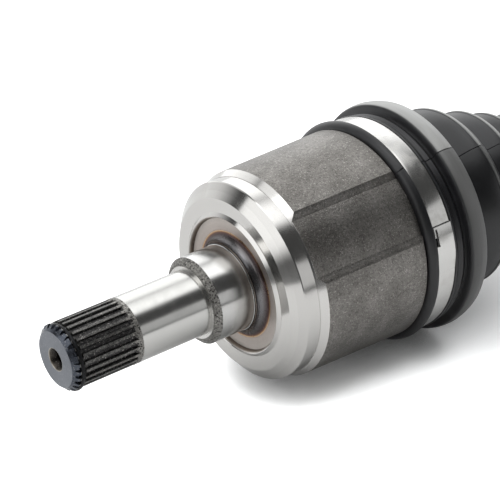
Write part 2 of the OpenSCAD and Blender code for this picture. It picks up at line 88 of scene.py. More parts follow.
def tone(code: str) -> Colour:
    """Turn a hex colour into linear red, green, blue and alpha.

    Args:
        code: the colour as it looks on a screen, such as "#8a8078".

    Returns:
        The same colour in linear light.
    """
    channels = [int(code[i:i + 2], 16) / 255 for i in (1, 3, 5)]
    linear = [c / 12.92 if c <= 0.04045 else ((c + 0.055) / 1.055) ** 2.4 for c in channels]
    return (linear[0], linear[1], linear[2], 1.0)


def tones(stops: Sequence[tuple[float, str]]) -> list[tuple[float, Colour]]:
    """Return the stops of a ramp with their hex colours made linear."""
    return [(place, tone(code)) for place, code in stops]


def ease(value: float, low: float, high: float) -> float:
    """Return 0 below low, 1 above high, and a smooth step between them."""
    t = min(1.0, max(0.0, (value - low) / (high - low)))
    return t * t * (3 - 2 * t)


class Hand(Enum):
    """The way along the shaft that something faces."""

    INBOARD = -1
    OUTBOARD = 1


class Graph:
    """Adds nodes to one node tree and links them as it goes."""

    def __init__(self, tree: Tree) -> None:
        """Keep the tree to add to."""
        self.tree = tree

    def add(self, kind: str, inputs: dict | None = None, **settings: object) -> Node:
        """Add one node.

        Args:
            kind: Blender's name for the node type.
            inputs: what each input gets, by name or index: a value or an output socket.
            settings: properties of the node.

        Returns:
            The new node.
        """
        node = self.tree.nodes.new(kind)
        for name, value in settings.items():
            setattr(node, name, value)
        self.feed(node, inputs or {})
        return node

    def feed(self, node: Node, inputs: dict) -> None:
        """Link outputs to a node's inputs, or set the inputs' own values.

        Args:
            node: the node.
            inputs: what each input gets, by name or index.
        """
        for name, value in inputs.items():
            if isinstance(value, Socket):
                self.tree.links.new(value, node.inputs[name])
            else:
                node.inputs[name].default_value = value

    def group(self, tree: Tree, inputs: dict | None = None) -> Outputs:
        """Place a shared effect, with values of its own if any are given, and return its outputs."""
        return self.add("ShaderNodeGroup", inputs, node_tree=tree).outputs

    def point(self) -> Socket:
        """Return where a point lies, in metres in the shaft's frame."""
        return self.add("ShaderNodeTexCoord").outputs["Object"]

    def painted(self, name: str) -> Socket:
        """Return the value that a mesh carries under a name, or 0 where it carries none."""
        return self.add("ShaderNodeAttribute", attribute_name=name).outputs["Fac"]

    def vector(self, x: object, y: object, z: float = 0.0) -> Socket:
        """Return a vector made of three values."""
        return self.add("ShaderNodeCombineXYZ", {0: x, 1: y, 2: z}).outputs[0]

    def measure(self, operation: str, a: object, b: object) -> Socket:
        """Return the value of a vector math node on two vectors."""
        return self.add("ShaderNodeVectorMath", {0: a, 1: b}, operation=operation).outputs["Value"]

    def math(self, operation: str, a: object, b: object = 0.0, clamp: bool = False) -> Socket:
        """Return the result of a math node on two values."""
        return self.add("ShaderNodeMath", {0: a, 1: b}, operation=operation, use_clamp=clamp).outputs[0]

    def times(self, a: object, b: object, clamp: bool = False) -> Socket:
        """Return a times b."""
        return self.math("MULTIPLY", a, b, clamp)

    def plus(self, a: object, b: object, clamp: bool = False) -> Socket:
        """Return a plus b."""
        return self.math("ADD", a, b, clamp)

    def spread(self, value: object, start: float, end: float, low: float = 0.0, high: float = 1.0) -> Socket:
        """Return start at low, end at high, and an even change between them."""
        return self.add("ShaderNodeMapRange", {0: value, 1: low, 2: high, 3: start, 4: end}).outputs[0]

    def step(self, value: object, low: float, high: float, start: float = 0.0, end: float = 1.0) -> Socket:
        """Return start at low, end at high, and a smooth change between them."""
        inputs = {0: value, 1: low, 2: high, 3: start, 4: end}
        return self.add("ShaderNodeMapRange", inputs, interpolation_type="SMOOTHSTEP").outputs[0]

    def between(self, value: object, edges: Edges) -> Socket:
        """Return 1 inside a soft-edged span, given as where it begins, is full, is still full, and ends."""
        begin, full, still, end = edges
        return self.times(self.step(value, begin, full), self.step(value, end, still))

    def blend(self, mask: object, a: object, b: object) -> Socket:
        """Return the value a where the mask is 0 and b where it is 1."""
        return self.add("ShaderNodeMix", {0: mask, 2: a, 3: b}, data_type="FLOAT").outputs[0]

    def mix(self, mask: object, a: object, b: object, mode: str = "MIX") -> Socket:
        """Return the colour a where the mask is 0 and b, or a changed by b, where it is 1."""
        return self.add("ShaderNodeMix", {0: mask, 6: a, 7: b}, data_type="RGBA", blend_type=mode).outputs[2]

    def ramp(self, factor: object, stops: Sequence[tuple[float, Colour]], mode: str = "LINEAR") -> Socket:
        """Add a colour ramp.

        Args:
            factor: what runs along the ramp, from 0 to 1.
            stops: place and colour of each stop, in order.
            mode: how the ramp goes from stop to stop.

        Returns:
            The ramp's colour.
        """
        node = self.add("ShaderNodeValToRGB", {0: factor})
        ramp = node.color_ramp
        ramp.interpolation = mode
        while len(ramp.elements) < len(stops):
            ramp.elements.new(1.0)
        for element, (place, colour) in zip(ramp.elements, stops):
            element.position = place
            element.color = colour
        return node.outputs[0]

    def noise(self, vector: object, scale: object, detail: float = 3.0, rough: float = 0.55) -> Socket:
        """Return plain noise from 0 to 1."""
        inputs = {"Vector": vector, "Scale": scale, "Detail": detail, "Roughness": rough}
        return self.add("ShaderNodeTexNoise", inputs).outputs[0]


class EffectShelf:
    """The shader groups that several finishes share, each built once.

    A pair named edge says at which values of a noise an effect begins and is full.
    """

    SLOW_LAYER = 7.0
    SLOW_RINGS = 0.13
    COARSE_SCALE = 0.5
    CELL_SCALE = 0.8
    PIT_SHARE = 0.7
    COARSE_SHARE = 0.9
    SPOT_EDGE = (0.42, 0.12)
    FLECK_EDGE = (0.42, 0.66)
    SPECK_EDGE = (1.02, 0.78)
    FILM_EDGE = (0.42, 0.68)
    BLOOM_EDGE = (0.4, 0.75)
    MOULD_GRAIN = 0.35

    def __init__(self) -> None:
        """Build every group."""
        self.place = self._place()
        self.turning = self._turning()
        self.speckle = self._speckle()
        self.smudge = self._smudge()
        self.rubber_skin = self._rubber_skin()

    @staticmethod
    def _start(name: str, given: dict[str, float], results: Sequence[str]) -> tuple[Graph, Outputs, Node]:
        """Open a new group.

        Args:
            name: the group's name.
            given: its inputs, with their usual values.
            results: the names of its outputs, all plain values.

        Returns:
            A graph on the group's tree, what it is given, and the node that takes its results.
        """
        tree = bpy.data.node_groups.new(name, "ShaderNodeTree")
        for key, value in given.items():
            socket = tree.interface.new_socket(name=key, in_out="INPUT", socket_type="NodeSocketFloat")
            socket.default_value = value
        for key in results:
            tree.interface.new_socket(name=key, in_out="OUTPUT", socket_type="NodeSocketFloat")
        graph = Graph(tree)
        return graph, graph.add("NodeGroupInput").outputs, graph.add("NodeGroupOutput")

    def _place(self) -> Tree:
        """Build the group that says where a point lies: station, radius, turn about the axis and outline.

        Returns:
            The group's tree.
        """
        graph, _, results = self._start("place_on_shaft", {}, ("Station", "Radius", "Turn", "Outline"))
        split = graph.add("ShaderNodeSeparateXYZ", {0: graph.point()}).outputs
        x, y, z = (graph.times(split[i], 1 / MM) for i in range(3))
        radius = graph.math("SQRT", graph.plus(graph.times(y, y), graph.times(z, z)))
        turn = graph.math("DIVIDE", graph.math("ARCTAN2", z, y), math.tau)
        graph.feed(results, {"Station": x, "Radius": radius, "Turn": turn, "Outline": graph.plus(x, radius)})
        return graph.tree

    def _turning(self) -> Tree:
        """Build lathe and grinding marks: fine rings that fade in and out round the axis.

        Returns:
            The group's tree.
        """
        graph, given, results = self._start(
            "turning_marks", {"Pitch": 0.25, "Waviness": 2.0}, ("Height", "Tint"))
        place = graph.group(self.place)
        along = graph.math("DIVIDE", place["Outline"], given["Pitch"])
        around = graph.times(place["Turn"], given["Waviness"])
        fine = graph.noise(graph.vector(along, around), scale=1.0, detail=2.0, rough=0.7)
        slow = graph.noise(graph.vector(along, around, self.SLOW_LAYER), self.SLOW_RINGS, detail=2.0)
        graph.feed(results, {"Height": fine, "Tint": graph.times(graph.plus(fine, slow), 0.5)})
        return graph.tree

    def _speckle(self) -> Tree:
        """Build a shot-blasted forging's skin: fine pits with light flecks, and slow cloudy mottling.

        Returns:
            The group's tree.
        """
        graph, given, results = self._start(
            "forging_speckle", {"Grain": 0.45, "Flecks": 0.5}, ("Height", "Fleck", "Speck", "Cloud"))
        point = graph.point()
        scale = graph.math("DIVIDE", 1 / MM, given["Grain"])
        pits = graph.noise(point, scale, detail=3.0, rough=0.6)
        coarse = graph.noise(point, graph.times(scale, self.COARSE_SCALE), detail=2.0, rough=0.7)
        cells = graph.add("ShaderNodeTexVoronoi", {
            "Vector": point, "Scale": graph.times(scale, self.CELL_SCALE)})
        fleck = graph.times(graph.step(cells.outputs["Distance"], *self.SPOT_EDGE),
                            graph.step(coarse, *self.FLECK_EDGE))
        graph.feed(results, {
            "Height": graph.plus(graph.times(pits, self.PIT_SHARE), graph.times(coarse, self.COARSE_SHARE)),
            "Fleck": graph.times(fleck, given["Flecks"]),
            "Speck": graph.step(graph.plus(pits, coarse), *self.SPECK_EDGE),
            "Cloud": graph.noise(point, scale=85.0, detail=4.0, rough=0.6)})
        return graph.tree

    def _smudge(self) -> Tree:
        """Build a soft uneven film of oil and handling marks.

        Returns:
            The group's tree.
        """
        graph, given, results = self._start("oil_smudge", {"Size": 9.0, "Amount": 0.3}, ("Film",))
        scale = graph.math("DIVIDE", 1 / MM, given["Size"])
        cloud = graph.step(graph.noise(graph.point(), scale, detail=5.0, rough=0.62), *self.FILM_EDGE)
        graph.feed(results, {"Film": graph.times(cloud, given["Amount"])})
        return graph.tree

    def _rubber_skin(self) -> Tree:
        """Build moulded rubber's skin: fine grain, slow unevenness and a trace of bloom.

        Returns:
            The group's tree.
        """
        graph, given, results = self._start("rubber_skin", {"Grain": 0.35}, ("Height", "Bloom"))
        point = graph.point()
        fine = graph.noise(point, graph.math("DIVIDE", 1 / MM, given["Grain"]), detail=2.0, rough=0.6)
        slow = graph.noise(point, scale=130.0, detail=3.0, rough=0.5)
        bloom = graph.noise(point, scale=60.0, detail=5.0, rough=0.65)
        graph.feed(results, {"Height": graph.plus(graph.times(fine, self.MOULD_GRAIN), slow),
                             "Bloom": graph.step(bloom, *self.BLOOM_EDGE)})
        return graph.tree


@dataclass(frozen=True)
class Zone:
    """One stretch of an outline and how it is finished."""

    start: float
    colour: str
    rough: float
    grain: float = 0.0
    marks: float = 0.0


@dataclass
class Surface:
    """What a surface is like at each point, as sockets of one material's graph."""

    colour: Socket
    rough: Socket
    grain: Socket
    marks: Socket
    metal: object = 1.0

    def cover(self, graph: Graph, mask: Socket, **values: float) -> None:
        """Change the named values of the surface where a mask is 1."""
        for name, value in values.items():
            setattr(self, name, graph.blend(mask, getattr(self, name), value))


@dataclass(frozen=True)
class TurnedSteel:
    """A steel piece whose finish changes along its outline.

    Marks go from dark_mark to light_mark times the colour. A cover says how far an effect hides the colour
    below it, and a relief how high one stands, in parts of depth.
    """

    name: str
    zones: tuple[Zone, ...]
    low: float
    high: float
    streak: float = 0.5
    mark_pitch: float = 0.25
    speck_size: float = 0.5
    flecks: float = 0.95
    film: float = 0.5
    film_rough: float = 0.10
    dark_mark: float = 0.72
    light_mark: float = 1.22
    mark_cover: float = 0.8
    dot: str = "#232120"
    fleck: str = "#d9d5cf"
    speck_cover: float = 0.9
    pit_relief: float = 2.0
    mark_relief: float = 0.035
    depth: float = 0.12

    def surface(self, graph: Graph, outline: Socket) -> Surface:
        """Run the zones along the outline.

        Args:
            graph: the material's graph.
            outline: station plus radius, in millimetres.

        Returns:
            The surface at each point.
        """
        place = graph.spread(outline, 0.0, 1.0, self.low, self.high)
        stops = [(max(0.0, (zone.start - self.low) / (self.high - self.low)), zone) for zone in self.zones]
        colours = [(at, tone(zone.colour)) for at, zone in stops]
        others = [(at, (zone.rough, zone.grain, zone.marks, 1.0)) for at, zone in stops]
        finish = graph.ramp(place, others, "CONSTANT")
        return Surface(graph.ramp(place, colours, "CONSTANT"),
                       *graph.add("ShaderNodeSeparateColor", {0: finish}).outputs)


@dataclass(frozen=True)
class PlainSteel:
    """A steel piece with one finish all over, and a dark painted shade where its mesh carries one, as at the
    gap under a clamp's lap.
    """

    name: str
    colour: str
    shade: str
    rough: float
    marks: float = 0.1
    mark_pitch: float = 0.2
    grain: float = 0.0
    streak: float = 0.3
    metallic: float = 1.0
    speck_size: float = 0.4
    flecks: float = 0.6
    fleck: str = "#cbc8c2"
    film_size: float = 6.0
    film_rough: float = 0.08
    seam_shade: str = "#191817"
    mark_relief: float = 0.06
    depth: float = 0.1


@dataclass(frozen=True)
class Rubber:
    """A moulded rubber, with dull bloom in streams round it, and ridges painted light: partly wear, partly a
    painted highlight.

    An edge says at which values of the streams' noise an effect begins and is full.
    """

    name: str
    colour: str
    bloom: str
    wear_and_sheen: str
    rough: float
    depth: float
    streams: float = 26.0
    stream_scale: float = 0.35
    bloom_edge: Point = (0.3, 0.7)
    bloom_rough: float = 0.10
    wear_and_sheen_edge: Point = (0.15, 0.55)
    wear_and_sheen_least: float = 0.65
    gloss: float = 0.6


@dataclass(frozen=True)
class BlackPaint:
    """Baked black paint with slight orange peel, worn thin on ridges that stand out past worn_r."""

    name: str
    colour: str
    shade: str
    worn: str
    rough: float
    film_size: float = 14.0
    film_cover: float = 0.5
    film_rough: float = 0.12
    peel_scale: float = 900.0
    worn_r: Point = (13.25, 13.38)
    worn_edge: Point = (0.45, 0.62)
    depth: float = 0.03


STUB_ZONES = (
    Zone(-63.0, "#76797f", 0.36, 0.25, 0.35),
    Zone(-50.4, "#4d5159", 0.24, 0.40, 0.0),
    Zone(-45.9, "#6c6b69", 0.44, 0.85, 0.0),
    Zone(-21.9, "#93918d", 0.48, 1.00, 0.0),
    Zone(-18.3, "#c6c5c2", 0.21, 0.0, 0.22),
    Zone(13.2, "#d0cecb", 0.25, 0.0, 0.2),
    Zone(14.2, "#8c8a86", 0.50, 1.0, 0.0),
    Zone(19.6, "#c8c7c5", 0.17, 0.0, 0.14),
    # painted shade: the groove at the seal journal's end is coloured near black
    Zone(34.45, "#262527", 0.40, 0.0, 0.0),
    Zone(35.15, "#d6d4d0", 0.22, 0.0, 0.2),
    Zone(35.6, "#3f3d3f", 0.25, 0.0, 0.2),
    Zone(43.0, "#b3a9a3", 0.42, 0.25, 0.8),
    Zone(49.95, "#c9c7c4", 0.13, 0.0, 0.12),
    Zone(65.0, "#c9c7c4", 0.15, 0.0, 0.2),
    Zone(71.2, "#cfcdca", 0.15, 0.0, 0.2),
)

BELL_ZONES = (
    Zone(490.0, "#8f8b86", 0.42, 0.25, 0.35),
    Zone(521.0, "#a5a19b", 0.28, 0.05, 0.5),
    Zone(540.0, "#8f8c87", 0.40, 0.3, 0.4),
    Zone(541.6, "#2b2b2a", 0.42, 0.45, 0.0),
    Zone(545.0, "#dedcd8", 0.16, 0.0, 0.2),
)

HOUSING_STEEL = TurnedSteel("housing_steel", STUB_ZONES, low=-63.0, high=80.0)
BELL_STEEL = TurnedSteel("bell_steel", BELL_ZONES, low=480.0, high=605.0)
BEARING_STEEL = PlainSteel("bearing_steel", "#d4d3d0", "#b9b7b3", rough=0.14, mark_pitch=0.15)
SPRING_STEEL = PlainSteel("spring_steel", "#222223", "#171718", rough=0.34, mark_pitch=0.3, grain=0.05)
TEMPERED_STEEL = PlainSteel(
    "tempered_steel", "#5c5a58", "#474543", rough=0.33, marks=0.3, mark_pitch=0.3, grain=0.12)
SPIDER_STEEL = PlainSteel(
    "spider_steel", "#8d8a85", "#6f6c68", rough=0.36, marks=0.3, mark_pitch=0.3, grain=0.2)
CIRCLIP_STEEL = PlainSteel(
    "circlip_steel", "#222224", "#161617", rough=0.42, mark_pitch=0.3, grain=0.05, metallic=0.7)
CLAMP_STEEL = PlainSteel(
    "clamp_steel", "#d0cfcd", "#bfbdb9", rough=0.17, marks=0.25, mark_pitch=0.35, streak=0.5)
BOOT_RUBBER = Rubber("boot_rubber", "#121215", "#1c1c20", "#868684", rough=0.35, depth=0.07)
BAR_PAINT = BlackPaint("bar_paint", "#151515", "#242424", "#4a4947", rough=0.34)


class FinishShop:
    """Turns finishes into materials."""

    def __init__(self) -> None:
        """Build the shared effects first."""
        self.effects = EffectShelf()

    @staticmethod
    def _open(name: str) -> tuple[Material, Graph, Node]:
        """Start a material.

        Args:
            name: its name.

        Returns:
            The material, its graph and its surface shader.
        """
        material = bpy.data.materials.new(name)
        material.use_nodes = True
        return material, Graph(material.node_tree), material.node_tree.nodes["Principled BSDF"]

    @staticmethod
    def _raise(graph: Graph, shader: Node, height: Socket, depth: float) -> None:
        """Raise the surface by a height, where 1 stands for depth millimetres."""
        bump = graph.add("ShaderNodeBump", {"Strength": 1.0, "Distance": depth * MM, "Height": height})
        graph.feed(shader, {"Normal": bump.outputs[0]})

    @staticmethod
    def _streak(graph: Graph, shader: Node, amount: float) -> None:
        """Draw highlights out across the turning marks, a quarter turn from round the axis."""
        tangent = graph.add("ShaderNodeTangent", direction_type="RADIAL", axis="X")
        graph.feed(shader, {
            "Tangent": tangent.outputs[0], "Anisotropic": amount, "Anisotropic Rotation": 0.25})

    def turned(self, finish: TurnedSteel, dress: Callable | None = None) -> Material:
        """Make a turned steel.

        Args:
            finish: the finish and its zones.
            dress: changes the surface further, for one piece alone.

        Returns:
            The material.
        """
        material, graph, shader = self._open(finish.name)
        place = graph.group(self.effects.place)
        surface = finish.surface(graph, place["Outline"])
        if dress:
            dress(self, graph, place, surface)
        turning = graph.group(self.effects.turning, {"Pitch": finish.mark_pitch})
        speckle = graph.group(self.effects.speckle, {"Grain": finish.speck_size, "Flecks": finish.flecks})
        film = graph.group(self.effects.smudge, {"Amount": finish.film})["Film"]
        shade = graph.spread(turning["Tint"], finish.dark_mark, finish.light_mark)
        marked = graph.mix(1.0, surface.colour, shade, "MULTIPLY")
        colour = graph.mix(graph.times(surface.marks, finish.mark_cover, clamp=True), surface.colour, marked)
        blasted = graph.times(surface.grain, surface.grain)
        for specks, code in ((graph.times(speckle["Speck"], blasted), finish.dot),
                             (graph.times(speckle["Fleck"], surface.grain), finish.fleck)):
            colour = graph.mix(graph.times(specks, finish.speck_cover, clamp=True), colour, tone(code))
        uneven = graph.times(film, finish.film_rough)
        graph.feed(shader, {"Base Color": colour, "Metallic": surface.metal,
                            "Roughness": graph.plus(surface.rough, uneven, clamp=True)})
        pits = graph.times(speckle["Height"], graph.times(blasted, finish.pit_relief))
        rings = graph.times(turning["Height"], graph.times(surface.marks, finish.mark_relief))
        self._raise(graph, shader, graph.plus(pits, rings), finish.depth)
        self._streak(graph, shader, finish.streak)
        return material

    def plain(self, finish: PlainSteel) -> Material:
        """Make a steel with one finish all over.

        Args:
            finish: the finish.

        Returns:
            The material.
        """
        material, graph, shader = self._open(finish.name)
        turning = graph.group(self.effects.turning, {"Pitch": finish.mark_pitch})
        speckle = graph.group(self.effects.speckle, {"Grain": finish.speck_size, "Flecks": finish.flecks})
        film = graph.group(self.effects.smudge, {"Size": finish.film_size, "Amount": 1.0})["Film"]
        shaded = graph.times(graph.plus(film, turning["Tint"]), 0.5, clamp=True)
        colour = graph.mix(shaded, tone(finish.colour), tone(finish.shade))
        colour = graph.mix(graph.times(speckle["Fleck"], finish.grain), colour, tone(finish.fleck))
        # painted shade: dark where the mesh carries it, the shadowed gap under a clamp's lap
        colour = graph.mix(graph.painted("seam_shade"), colour, tone(finish.seam_shade))
        graph.feed(shader, {"Base Color": colour, "Metallic": finish.metallic,
                            "Roughness": graph.spread(film, finish.rough, finish.rough + finish.film_rough)})
        rings = graph.times(turning["Height"], finish.marks * finish.mark_relief)
        pits = graph.times(speckle["Height"], finish.grain)
        self._raise(graph, shader, graph.plus(rings, pits), finish.depth)
        self._streak(graph, shader, finish.streak)
        return material

    def rubber(self, finish: Rubber) -> Material:
        """Make a moulded rubber.

        Args:
            finish: the finish.

        Returns:
            The material.
        """
        material, graph, shader = self._open(finish.name)
        skin = graph.group(self.effects.rubber_skin)
        place = graph.group(self.effects.place)
        way = graph.vector(place["Station"], graph.times(place["Turn"], finish.streams))
        flow = graph.noise(way, finish.stream_scale)
        bloom = graph.times(skin["Bloom"], graph.step(flow, *finish.bloom_edge), clamp=True)
        wear_and_sheen_left = graph.step(flow, *finish.wear_and_sheen_edge, finish.wear_and_sheen_least, 1.0)
        # painted highlight, partly wear: the crests and the rim's band are coloured light where the mesh says
        wear_and_sheen = graph.times(graph.painted("ridge"), wear_and_sheen_left, clamp=True)
        base = graph.mix(bloom, tone(finish.colour), tone(finish.bloom))
        graph.feed(shader, {"Base Color": graph.mix(wear_and_sheen, base, tone(finish.wear_and_sheen)),
                            "Roughness": graph.plus(graph.times(bloom, finish.bloom_rough), finish.rough),
                            "Specular IOR Level": finish.gloss})
        self._raise(graph, shader, skin["Height"], finish.depth)
        return material

    def paint(self, finish: BlackPaint) -> Material:
        """Make black paint, thinner and greyer on ridges.

        Args:
            finish: the finish.

        Returns:
            The material.
        """
        material, graph, shader = self._open(finish.name)
        radius = graph.group(self.effects.place)["Radius"]
        peel = graph.noise(graph.point(), finish.peel_scale, detail=2.0, rough=0.5)
        film = graph.group(self.effects.smudge, {"Size": finish.film_size, "Amount": 1.0})["Film"]
        worn = graph.times(graph.step(radius, *finish.worn_r), graph.step(peel, *finish.worn_edge))
        base = graph.mix(graph.times(film, finish.film_cover), tone(finish.colour), tone(finish.shade))
        graph.feed(shader, {"Base Color": graph.mix(worn, base, tone(finish.worn)),
                            "Roughness": graph.spread(film, finish.rough, finish.rough + finish.film_rough)})
        self._raise(graph, shader, peel, finish.depth)
        return material


@dataclass
class InboardHousing:
    """The forged and machined inner housing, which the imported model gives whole.

    The machined facet is a cone through station facet_x at radius facet_r. The forging is what lies below it.
    """

    facet_x: float = 30.4
    facet_r: float = 40.7
    facet_slope: float = 0.6
    below_facet: Point = (0.06, 0.14)
    forging_start: Point = (71.15, 71.3)
    forging: str = "#8b8884"
    forging_shade: str = "#74716d"
    forging_cloud: Point = (0.3, 0.7)
    forging_metal: float = 0.92
    forging_rough: float = 0.39
    forging_grain: float = 0.66
    recess: Edges = (35.55, 35.65, 59.9, 60.0)
    tint_span: Point = (35.6, 48.1)
    heat_tint: tuple = ((0.0, "#4f4e50"), (0.10, "#727173"), (0.24, "#777576"), (0.36, "#625d5d"),
                        (0.46, "#4e4444"), (0.53, "#5c4640"), (0.565, "#8a6850"), (0.585, "#bd9f78"),
                        (0.61, "#a5968d"), (0.66, "#b0a7a1"), (1.0, "#bbb4ae"))
    lip_foot: Point = (26.85, 26.92)
    lip_span: Point = (26.8, 28.1)
    lip_tint_and_shade: tuple = ((0.0, "#5a5048"), (0.35, "#7d7267"), (0.6, "#a79f97"), (1.0, "#cdcbc8"))
    lip_top: Point = (27.6, 27.8)
    lip_rough: float = 0.14
    lip_marks: float = 0.15
    hole_r: Point = (5.75, 5.6)
    hole_x: Point = (-40.0, -41.0)
    hole_span: Point = (2.4, 5.7)
    hole_shade_and_highlight: tuple = ((0.0, "#1d1b1a"), (0.45, "#3f3b37"), (0.62, "#5a554e"), (0.68, "#9a948a"),
                        (0.74, "#aaa69e"), (0.80, "#777a80"), (1.0, "#76797f"))
    gap_r: Point = (12.95, 12.55)
    gap_x: Edges = (-56.4, -56.0, -33.2, -31.9)
    gap_shade: str = "#4b4a4a"

    def dress(self, shop: FinishShop, graph: Graph, place: Outputs, surface: Surface) -> None:
        """Add what the zones leave out: heat tint with painted shade at the lip's foot, painted shade and
        highlight in the centre hole, painted shade in the spline's gaps, and forged skin.

        Args:
            shop: where the shared effects are.
            graph: the material's graph.
            place: outputs that say where a point lies on the shaft.
            surface: the machined surface, which this changes.
        """
        station, radius, outline = place["Station"], place["Radius"], place["Outline"]
        recess = graph.between(outline, self.recess)
        heat = graph.ramp(graph.spread(outline, 0.0, 1.0, *self.tint_span), tones(self.heat_tint))
        # the lip's foot is painted dark as shade on the recess's inner wall, then heat tint, then plain steel
        # at its top
        lip = graph.ramp(graph.step(radius, *self.lip_span), tones(self.lip_tint_and_shade))
        # painted shade deep in the centre hole, with a painted highlight as a light ring on its chamfer
        hole = graph.ramp(graph.step(radius, *self.hole_span), tones(self.hole_shade_and_highlight))
        in_hole = graph.times(graph.step(radius, *self.hole_r), graph.step(station, *self.hole_x))
        # painted shade: darkens the gaps between the spline's teeth
        in_gap = graph.times(graph.step(radius, *self.gap_r), graph.between(station, self.gap_x))
        for mask, colour in ((recess, heat), (graph.times(recess, graph.step(radius, *self.lip_foot)), lip),
                             (in_hole, hole), (in_gap, tone(self.gap_shade))):
            surface.colour = graph.mix(mask, surface.colour, colour)
        polished = graph.times(recess, graph.step(radius, *self.lip_top))
        surface.cover(graph, polished, rough=self.lip_rough, grain=0.0, marks=self.lip_marks)
        tip_r = self.facet_r - self.facet_slope * self.facet_x
        cone = graph.plus(graph.times(station, self.facet_slope), tip_r)
        below = graph.step(graph.math("SUBTRACT", cone, radius), *self.below_facet)
        forged = graph.times(below, graph.step(outline, *self.forging_start))
        cloud = graph.step(graph.group(shop.effects.speckle)["Cloud"], *self.forging_cloud)
        skin = graph.mix(cloud, tone(self.forging), tone(self.forging_shade))
        surface.colour = graph.mix(forged, surface.colour, skin)
        surface.cover(graph, forged, rough=self.forging_rough, grain=self.forging_grain, marks=0.0)
        surface.metal = graph.spread(forged, 1.0, self.forging_metal)


def on_shaft(x: float, r: float, angle: float, drop: float = 0.0) -> Triple:
    """Return a point in metres from its station, radius and angle in radians, let down by drop."""
    return (x * MM, r * math.cos(angle) * MM, (r * math.sin(angle) - drop) * MM)


def turned_mesh(name: str, outline: Outline, azimuths: Sequence[float], shift: Shift, ridge: Ridge) -> Piece:
    """Revolve a closed outline about the shaft axis.

    Args:
        name: the piece's name.
        outline: points of station and radius, in order round the section.
        azimuths: where the rings of points stand, in degrees.
        shift: extra radius for a point, from its index, station, radius and azimuth.
        ridge: how light a point is painted, partly wear and partly a painted highlight, from its station,
            radius and azimuth.

    Returns:
        The new object.
    """
    mesh = bmesh.new()
    wear_and_sheen = mesh.verts.layers.float.new("ridge")
    rings = []
    for azimuth in azimuths:
        ring = []
        for i, (x, r) in enumerate(outline):
            vert = mesh.verts.new(on_shaft(x, r + shift(i, x, r, azimuth), math.radians(azimuth)))
            vert[wear_and_sheen] = ridge(x, r, azimuth)
            ring.append(vert)
        rings.append(ring)
    for k, ring in enumerate(rings):
        after = rings[(k + 1) % len(rings)]
        for i in range(len(outline)):
            j = (i + 1) % len(outline)
            mesh.faces.new((ring[i], ring[j], after[j], after[i]))
    return as_object(name, mesh)


def skin_sections(mesh: Mesh, sections: Sequence[Sequence[bmesh.types.BMVert]]) -> None:
    """Join a run of closed sections by a skin, and cap both ends.

    Args:
        mesh: what the sections are in.
        sections: the points of each section, in the same order round it.
    """
    for one, two in zip(sections, sections[1:]):
        for j in range(len(one)):
            n = (j + 1) % len(one)
            mesh.faces.new((one[j], one[n], two[n], two[j]))
    mesh.faces.new(sections[0])
    mesh.faces.new(list(reversed(sections[-1])))


def as_object(name: str, mesh: Mesh, sharp: float = 32.0) -> Piece:
    """Put a mesh in the scene, with its faces turned outwards and its hard edges kept hard.

    Args:
        name: the piece's name.
        mesh: what to put in; it is freed.
        sharp: the angle in degrees from which an edge is hard.

    Returns:
        The new object.
    """
    bmesh.ops.recalc_face_normals(mesh, faces=mesh.faces)
    data = bpy.data.meshes.new(name)
    mesh.to_mesh(data)
    mesh.free()
    data.polygons.foreach_set("use_smooth", [True] * len(data.polygons))
    data.set_sharp_from_angle(angle=math.radians(sharp))
    piece = bpy.data.objects.new(name, data)
    bpy.context.scene.collection.objects.link(piece)
    return piece


def wear(piece: Piece, material: Material) -> None:
    """Put one material in every slot of a piece, and make a slot if it has none.

    Args:
        piece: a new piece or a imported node.
        material: what it gets.
    """
    if not piece.material_slots:
        piece.data.materials.append(material)
    for slot in piece.material_slots:
        slot.material = material


